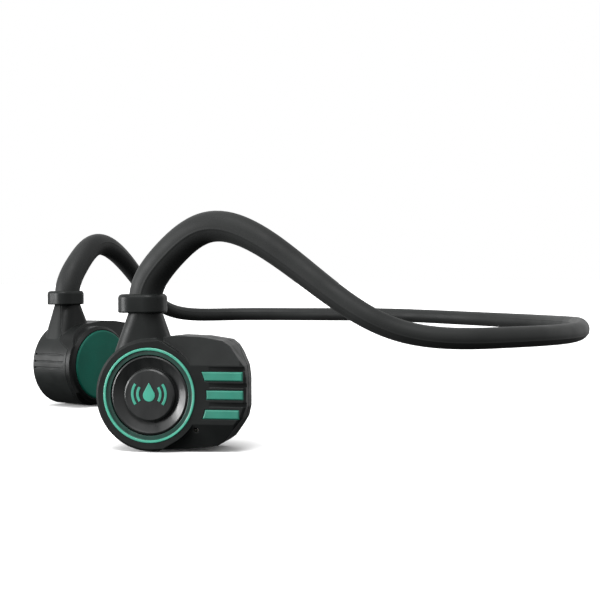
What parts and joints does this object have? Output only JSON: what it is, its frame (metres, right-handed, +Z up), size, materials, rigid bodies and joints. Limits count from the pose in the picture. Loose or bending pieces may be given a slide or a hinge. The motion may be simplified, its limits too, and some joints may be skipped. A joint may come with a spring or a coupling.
{
  "type": "bone conduction headphones",
  "caption": "Bone conduction headphones: a tapered ear-hook band behind the head joins two pods with ringed round buttons, ribbed accent bars and cheek pads.",
  "frame": {"origin": "middle of the footprint, level with the lowest point of the two pods", "axes": "+Z up, -X the way the wearer faces, -Y the wearer's left, so +Y runs across the head"},
  "size_m": [0.1221, 0.1604, 0.0442],
  "materials": {
    "housing_plastic": "fine matte, charcoal",
    "gloss_button": "gloss, near black",
    "teal_accent": "satin teal green",
    "teal_pad": "soft matte deep teal",
    "sleeve_silicone": "soft matte charcoal silicone",
    "seal_rubber": "matte black",
    "plated_steel": "plated",
    "spring_steel": "bright",
    "magnet_nickel": "nickel plate",
    "coil_copper": "enamelled copper",
    "memory_wire": "titanium alloy wire",
    "cable_jacket": "soft black jacket",
    "board_green": "solder mask",
    "chip_black": "moulded epoxy",
    "switch_metal": "stamped can",
    "battery_foil": "laminated foil",
    "gold_contact": "gold plate"
  },
  "bodies": {
    "left_half": {"left_outer_shell": "housing_plastic", "left_inner_shell": "housing_plastic", "left_shell_gasket": "seal_rubber", "left_button_seal": "seal_rubber", "left_tact_switch": "switch_metal", "left_accent_ring": "teal_accent", "left_accent_bars": "teal_accent", "left_transducer_frame": "housing_plastic", "left_transducer_yoke": "plated_steel", "left_transducer_magnet": "magnet_nickel", "left_voice_coil": "coil_copper", "left_suspension_spring": "spring_steel", "left_vibration_plate": "plated_steel", "left_pad_surround": "seal_rubber", "left_contact_pad": "teal_pad", "left_collar": "housing_plastic", "left_band_sleeve": "sleeve_silicone", "left_band_core_wire": "memory_wire", "left_band_cable": "cable_jacket", "left_main_board": "board_green", "left_main_chips": "chip_black", "left_board_screws": "plated_steel", "left_microphone": "switch_metal"},
    "right_half": {"right_outer_shell": "housing_plastic", "right_inner_shell": "housing_plastic", "right_shell_gasket": "seal_rubber", "right_button_seal": "seal_rubber", "right_tact_switch": "switch_metal", "right_accent_ring": "teal_accent", "right_accent_bars": "teal_accent", "right_transducer_frame": "housing_plastic", "right_transducer_yoke": "plated_steel", "right_transducer_magnet": "magnet_nickel", "right_voice_coil": "coil_copper", "right_suspension_spring": "spring_steel", "right_vibration_plate": "plated_steel", "right_pad_surround": "seal_rubber", "right_contact_pad": "teal_pad", "right_collar": "housing_plastic", "right_band_sleeve": "sleeve_silicone", "right_band_core_wire": "memory_wire", "right_band_cable": "cable_jacket", "right_button_board": "board_green", "right_battery": "battery_foil", "right_charge_contacts": "gold_contact", "right_charge_magnets": "magnet_nickel"},
    "left_button": {"left_button_cap": "gloss_button", "left_button_icon": "teal_accent"},
    "right_button": {"right_button_cap": "gloss_button", "right_button_icon": "teal_accent"}
  },
  "joints": [
    {"name": "band_flex", "type": "hinge", "parent": "left_half", "child": "right_half", "pos_m": [0.0611, 0, 0.0203], "axis": [0, 0, -1], "range_deg": [-3, 30], "stiffness_Nm_per_rad": 0.35},
    {"name": "left_button_press", "type": "slide", "parent": "left_half", "child": "left_button", "axis": [0.5373, 0.8434, 0], "range_m": [0, 0.0005], "stiffness_N_per_m": 1500, "springref_m": -0.0003},
    {"name": "right_button_press", "type": "slide", "parent": "right_half", "child": "right_button", "axis": [0.5373, -0.8434, 0], "range_m": [0, 0.0005], "stiffness_N_per_m": 1500, "springref_m": -0.0003}
  ]
}
